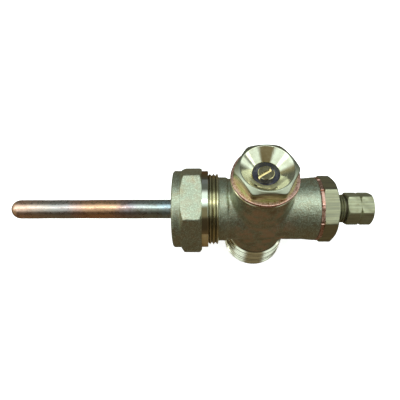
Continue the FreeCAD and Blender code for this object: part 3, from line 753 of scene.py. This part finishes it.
def make_bonnet(material):
    """Hexagon with chamfered corners and a polished dish round the spindle's recess."""
    low, high = ends("lockshield_bonnet", 2)
    start = ends("bonnet_washer", 2)[1]
    corner, corner_angle = farthest("lockshield_bonnet", start, high, along_branch)
    face = DISH_RIM + 0.35
    recess = 5.0
    recess_top = 26.9
    recess_floor = 22.9
    spindle_hole = 2.9
    corners = [
        (low, recess, 0.2), (low, SPIGOT - 0.45, 0.3), (low + 0.5, SPIGOT, 0.2), (start, SPIGOT, 0.1),
        (start, corner - 0.5, 0.25), (start + 0.4, corner, 0.25),
        (high - 1.55, corner, 0.35), (high, face, 0.18), (high, DISH_RIM, 0.12),
        (recess_top, recess + 0.09, 0.18), (recess_floor, recess, 0.15),
        (recess_floor, spindle_hole, 0.1), (low + 2, spindle_hole, 0.2), (low + 2, recess, 0.2),
    ]

    def shape(place, radius, angle):
        bar = flats(angle, corner, corner_angle, 0.4)
        outside = (place > start - 0.01) & (radius > SPIGOT + 0.05)
        return np.where(outside, soft_min(radius, bar, 0.3), radius)

    piece = turned("bonnet_with_dish", corners, branch_place, steps=480, step=0.25, shape=shape)
    dress(piece, "lockshield_bonnet", material)


def make_bonnet_washer(material):
    """Soft washer with faint grooves round its rim."""
    low, high = ends("bonnet_washer", 2)
    radius = widest("bonnet_washer", low, high, along_branch)
    pitch = 0.65
    corners = [
        (low, WASHER_HOLE, 0.1), (low, radius, 0.4), (high, radius, 0.4), (high, WASHER_HOLE, 0.1),
    ]

    def shape(place, here, angle):
        wave = 0.05 * np.sin(3 * angle + 2) + 0.03 * np.sin(8 * angle)
        groove = 0.06 * np.cos((place - low) * TURN / pitch)
        return np.where(here > WASHER_HOLE + 1, here + wave + groove - 0.12, here)

    piece = turned("bonnet_copper_washer", corners, branch_place, step=0.15, shape=shape)
    dress(piece, "bonnet_washer", material)


# ---------------------------------------------------------------- the body

INLET_THREAD = (-25.4, -17.1)
INLET_PITCH = 1.5
INLET_DEPTH = 0.75
OUTLET_THREAD_TOP = -18.1
OUTLET_PITCH = 1.814
OUTLET_DEPTH = 1.1

# how far the forging lies under the turned threads and the outlet's face that are laid over it
UNDER_INLET = 1.0
UNDER_OUTLET = 1.3
UNDER_FACE = 0.3

# the forged skin's unevenness, as (waves per millimetre, height), and how far it is sunk for it
SKIN_WAVES = ((0.35, 0.07), (1.3, 0.025))
SKIN_SINK = 0.05


def inlet_crest():
    """Radius of the inlet thread's crests."""
    return widest("valve_body", *INLET_THREAD)


def outlet_crest():
    """Radius of the outlet thread's crests, measured well inside the thread's ends."""
    return widest("valve_body", -30, -20, along_branch)


def pare(points, measure, across, end, root):
    """Brings every point of a thread, up to its end along its axis, in to a radius of root."""
    place, radius = measure(points)[:2]
    thread = (place < end) & (radius > root)
    scale = np.where(thread, root / np.maximum(radius, 1), 1)
    points[:, across] *= scale[:, None]


def body_core():
    """The CAD body with its threads pared down, remeshed and rubbed smooth like a forging."""
    source = frame["nodes"]["valve_body"].data.copy()
    points = points_of("valve_body")
    pare(points, along_run, (1, 2), INLET_THREAD[1] + 0.4, inlet_crest() - UNDER_INLET)
    pare(points, along_branch, (0, 1), OUTLET_THREAD_TOP + 0.6, outlet_crest() - UNDER_OUTLET)
    points[:, 2] = np.maximum(points[:, 2], UNDER_FACE - RUN_HEIGHT)
    source.vertices.foreach_set("co", ((points + (0, 0, RUN_HEIGHT)) * MM).ravel())
    work = bmesh.new()
    work.from_mesh(source)
    bmesh.ops.remove_doubles(work, verts=work.verts, dist=1e-6)
    work.to_mesh(source)
    work.free()
    core = bpy.data.objects.new("body_core", source)
    bpy.context.scene.collection.objects.link(core)
    remesh = core.modifiers.new("even", "REMESH")
    remesh.mode = "VOXEL"
    remesh.voxel_size = 0.3 * MM
    smooth = core.modifiers.new("rub", "SMOOTH")
    smooth.factor = 0.5
    smooth.iterations = 3
    evaluated = core.evaluated_get(bpy.context.evaluated_depsgraph_get())
    mesh = bpy.data.meshes.new_from_object(evaluated)
    bpy.data.objects.remove(core)
    return mesh


def roughen(mesh):
    """Moves the forged skin in and out by a few hundredths, as a die leaves it."""
    normals = np.zeros(len(mesh.vertices) * 3)
    mesh.vertices.foreach_get("normal", normals)
    flat = np.zeros(len(mesh.vertices) * 3)
    mesh.vertices.foreach_get("co", flat)
    points = flat.reshape(-1, 3)
    lift = []
    for point in points:
        spot = Vector(point) / MM
        lift.append(sum(noise.noise(spot * rate) * height for rate, height in SKIN_WAVES))
    lift = np.array(lift)[:, None] - SKIN_SINK
    mesh.vertices.foreach_set("co", (points + normals.reshape(-1, 3) * lift * MM).ravel())


def inlet_thread():
    """The inlet's turned end: a bright thread with painted shade at the bottom of its grooves."""
    start, end = INLET_THREAD
    crest = inlet_crest()
    neck = 13.3
    corners = [
        (start, PIPE_HOLE + 0.2, 0.1), (start, crest - 0.8, 0.15), (start + 0.7, crest, 0.15),
        (end - 0.25, crest, 0.15), (end, crest - 0.5, 0.1),
        (end + 0.1, neck, 0.2), (end + 0.1, PIPE_HOLE, 0),
    ]

    def shape(place, radius, angle):
        screw = vee(place, crest, INLET_PITCH, INLET_DEPTH, start + 0.4, end - 0.2)
        return np.where(radius > crest - INLET_DEPTH, np.minimum(radius, screw), radius)

    # the thread's grooves get painted shade
    brass = turned_brass("inlet_thread_brass", (1, 0, 0), colour=(0.85, 0.80, 0.56),
                         thread=(0, crest, INLET_DEPTH))
    return turned("inlet_thread", corners, step=FINE, shape=shape), brass


def outlet_thread():
    """The outlet's turned end, with a worn thread and a plain end face."""
    low = -RUN_HEIGHT
    top = OUTLET_THREAD_TOP + 0.6
    crest = outlet_crest()
    neck = 12.1
    # how far into the thread's grooves the painted shade reaches
    shade_depth = 1.5
    corners = [
        (low, OUTLET_BORE, 0.3), (low, crest - 1.0, 0.15), (low + 0.9, crest, 0.15),
        (OUTLET_THREAD_TOP - 1.3, crest, 0.3), (OUTLET_THREAD_TOP, neck, 0.1),
        (top, neck - 0.15, 0.1), (top, OUTLET_BORE, 0.1),
    ]

    def shape(place, radius, angle):
        screw = vee(place, crest, OUTLET_PITCH, OUTLET_DEPTH, low + 0.7, OUTLET_THREAD_TOP + 0.4)
        return np.where(radius > crest - OUTLET_DEPTH, np.minimum(radius, screw), radius)

    # the thread's grooves get painted shade
    brass = turned_brass("outlet_thread_brass", (0, 0, 1), polish=0.12, colour=(0.92, 0.87, 0.68),
                         thread=(2, crest, shade_depth))
    return turned("outlet_thread", corners, branch_place, step=FINE, shape=shape), brass


def boss_rim():
    """The turned face on top of the boss, where the bonnet's washer sits."""
    top = ends("bonnet_washer", 2)[0]
    radius = widest("valve_body", top - 1, top, along_branch)
    proud = radius + 0.02
    corners = [
        (top - 0.75, radius - 1, 0), (top - 0.75, proud, 0.05), (top - 0.35, proud, 0.1),
        (top, radius - 0.35, 0.05), (top, radius - 1, 0),
    ]
    return turned("boss_rim", corners, branch_place, steps=240)


def make_body(forged, machined):
    """The forging, and over it the three places where it is machined."""
    mesh = body_core()
    roughen(mesh)
    core = finished("valve_body_forging", mesh, crease=60)
    dress(core, "valve_body", forged)
    for piece, material in (inlet_thread(), outlet_thread(), (boss_rim(), machined)):
        piece.data.materials.append(material)
        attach(piece, "valve")


# ---------------------------------------------------------------- stage, light and camera

def make_floor():
    """A plain near-white floor just under the outlet's face."""
    reach = 3.0
    height = -0.0002
    mesh = bpy.data.meshes.new("floor")
    edge = [(-reach, -reach), (reach, -reach), (reach, reach), (-reach, reach)]
    mesh.from_pydata([(x, y, height) for x, y in edge], [], [(0, 1, 2, 3)])
    floor = bpy.data.objects.new("floor", mesh)
    bpy.context.scene.collection.objects.link(floor)
    material = bpy.data.materials.new("pale_floor")
    material.use_nodes = True
    shader = material.node_tree.nodes["Principled BSDF"]
    shader.inputs["Base Color"].default_value = (0.9, 0.9, 0.9, 1)
    shader.inputs["Roughness"].default_value = 0.9
    shader.inputs["Emission Color"].default_value = (1, 1, 1, 1)
    shader.inputs["Emission Strength"].default_value = 0.8
    mesh.materials.append(material)
    floor.visible_glossy = False


# the colours of the room that the metal mirrors
BELOW = (0.125, 0.094, 0.054)
FRONT = (0.057, 0.047, 0.030)
BACK = (0.13, 0.143, 0.125)
SIDE = (0.36, 0.33, 0.20)
ONLOOKER = (0.21, 0.18, 0.11)
CEILING = (1.04, 1.22, 1.22)
LAMP = (3.3, 3.6, 3.5)


def make_light():
    """A pale ceiling with a lamp over the run, a dim room round it and an onlooker in front."""
    world = bpy.data.worlds.new("soft_studio")
    bpy.context.scene.world = world
    world.use_nodes = True
    sky = Nodes(world.node_tree)
    towards = sky.split(sky.add("ShaderNodeTexCoord").outputs["Generated"])

    def fade(axis, low, high, start, end):
        return sky.grey(towards[axis], low, high, start, end, smooth=True)

    def fade_aside(axis, centre, low, high, start, end):
        """The same to both sides of a centre."""
        distance = sky.math("ABSOLUTE", sky.math("SUBTRACT", towards[axis], centre))
        return sky.grey(distance, low, high, start, end, smooth=True)

    def product(share, *others):
        for other in others:
            share = sky.math("MULTIPLY", share, other)
        return share

    room = sky.mix(fade("Z", 0, 1, 0.50, 0.68), FRONT, ONLOOKER)
    room = sky.mix(fade("Y", 0, 1, -0.3, 0.6), room, BACK)
    room = sky.mix(fade("X", 1, 0, -0.85, -0.6), room, SIDE)
    room = sky.mix(fade("Z", 0, 1, -0.35, 0.05), BELOW, room)
    # a pale strip over the run, with a dark gap near its right-hand end
    gap = product(fade("X", 0, 0.85, 0.45, 0.7), fade_aside("Y", -0.12, 1, 0, 0.14, 0.28))
    strip = product(fade_aside("Y", 0.04, 1, 0, 0.22, 0.50), fade("Z", 0, 1, -0.02, 0.22),
                    sky.math("SUBTRACT", 1.0, gap))
    # the ceiling that shows in front, to either side of the onlooker
    corners = product(fade_aside("X", 0.08, 0, 1, 0.28, 0.48), fade("Y", 0, 1, -0.85, -0.6),
                      fade("Y", 1, 0, -0.2, 0.1), fade("Z", 0, 0.9, 0.3, 0.55),
                      fade("X", 0, 1, -0.80, -0.60))
    # the low part of the ceiling is dimmer on the left
    left = sky.math("MAXIMUM", fade("X", 1, 0.3, -0.3, -0.85), fade("Z", 0, 1, 0.2, 0.5))
    bright = product(sky.math("MAXIMUM", strip, corners), left)
    lamp_line = product(fade_aside("Y", -0.10, 1, 0, 0.03, 0.11), bright)
    colour = sky.mix(bright, room, CEILING)
    colour = sky.mix(lamp_line, colour, LAMP)
    seen = sky.add("ShaderNodeLightPath").outputs["Is Camera Ray"]
    background = world.node_tree.nodes["Background"]
    sky.feed(background.inputs["Color"], sky.mix(seen, colour, (1.0, 1.0, 1.0)))
    lamp = bpy.data.lights.new("overhead", "AREA")
    lamp.shape = "DISK"
    lamp.size = 0.6
    lamp.energy = 2.0
    holder = bpy.data.objects.new("overhead", lamp)
    holder.location = (0.0, 0.0, 0.8)
    holder.visible_glossy = False
    bpy.context.scene.collection.objects.link(holder)


def make_camera():
    """The view from in front, looking steeply down."""
    camera = bpy.data.cameras.new("photo_view")
    camera.sensor_width = 36
    camera.lens = 36
    camera.clip_start = 0.01
    holder = bpy.data.objects.new("photo_view", camera)
    holder.location = (-0.021517, -0.082009, 0.180481)
    holder.rotation_euler = [math.radians(turn) for turn in (30.040, 1.031, 0.381)]
    bpy.context.scene.collection.objects.link(holder)
    bpy.context.scene.camera = holder
    bpy.context.scene.view_settings.view_transform = "Standard"


make_camera()
make_light()
make_floor()

forged = forged_brass("forged_brass")
run_turned = turned_brass("brass_turned_about_run", (1, 0, 0))
branch_turned = turned_brass("brass_turned_about_branch", (0, 0, 1), polish=0.14)
end_washer_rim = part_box("adapter_washer")[1][1] / MM
bonnet_washer_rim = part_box("bonnet_washer")[1][1] / MM

make_body(forged, branch_turned)
make_union_nut(forged, skirt_brass("skirt_brass"))
make_olive(run_turned)
make_pocket(heat_tinted_copper("heat_tinted_copper"))
make_adapter(drawn_brass("drawn_brass_bar"))
make_end_washer(soft_copper("end_washer_copper", (0, end_washer_rim)))
make_gland_screw()
make_bonnet(bonnet_brass("bonnet_brass", ends("lockshield_bonnet", 2)[1]))
make_bonnet_washer(soft_copper("bonnet_washer_copper", (2, bonnet_washer_rim)))

# the pieces that keep their CAD shapes, and what they are finished in
plain_finish = {
    "pocket_braze": silver_braze("silver_braze"),
    "gland_seal": moulded("black_rubber", (0.010, 0.011, 0.022), (0.030, 0.031, 0.048), 0.34),
    "gland_washer": run_turned,
    "spindle": branch_turned,
    "spindle_packing": moulded("graphite", (0.030, 0.030, 0.050), (0.075, 0.078, 0.105), 0.22),
    "spindle_circlip": dull_steel("spring_steel"),
    "thrust_washer": moulded("white_ptfe", (0.78, 0.78, 0.76), (0.88, 0.88, 0.86), 0.45),
    "disc_carrier": branch_turned,
    "valve_disc": branch_turned,
    "disc_screw": branch_turned,
}
for node in ("spindle_o_ring_upper", "spindle_o_ring_lower", "disc_seal"):
    plain_finish[node] = plain_finish["gland_seal"]
for node, material in plain_finish.items():
    mesh = frame["nodes"][node].data
    mesh.materials.clear()
    mesh.materials.append(material)
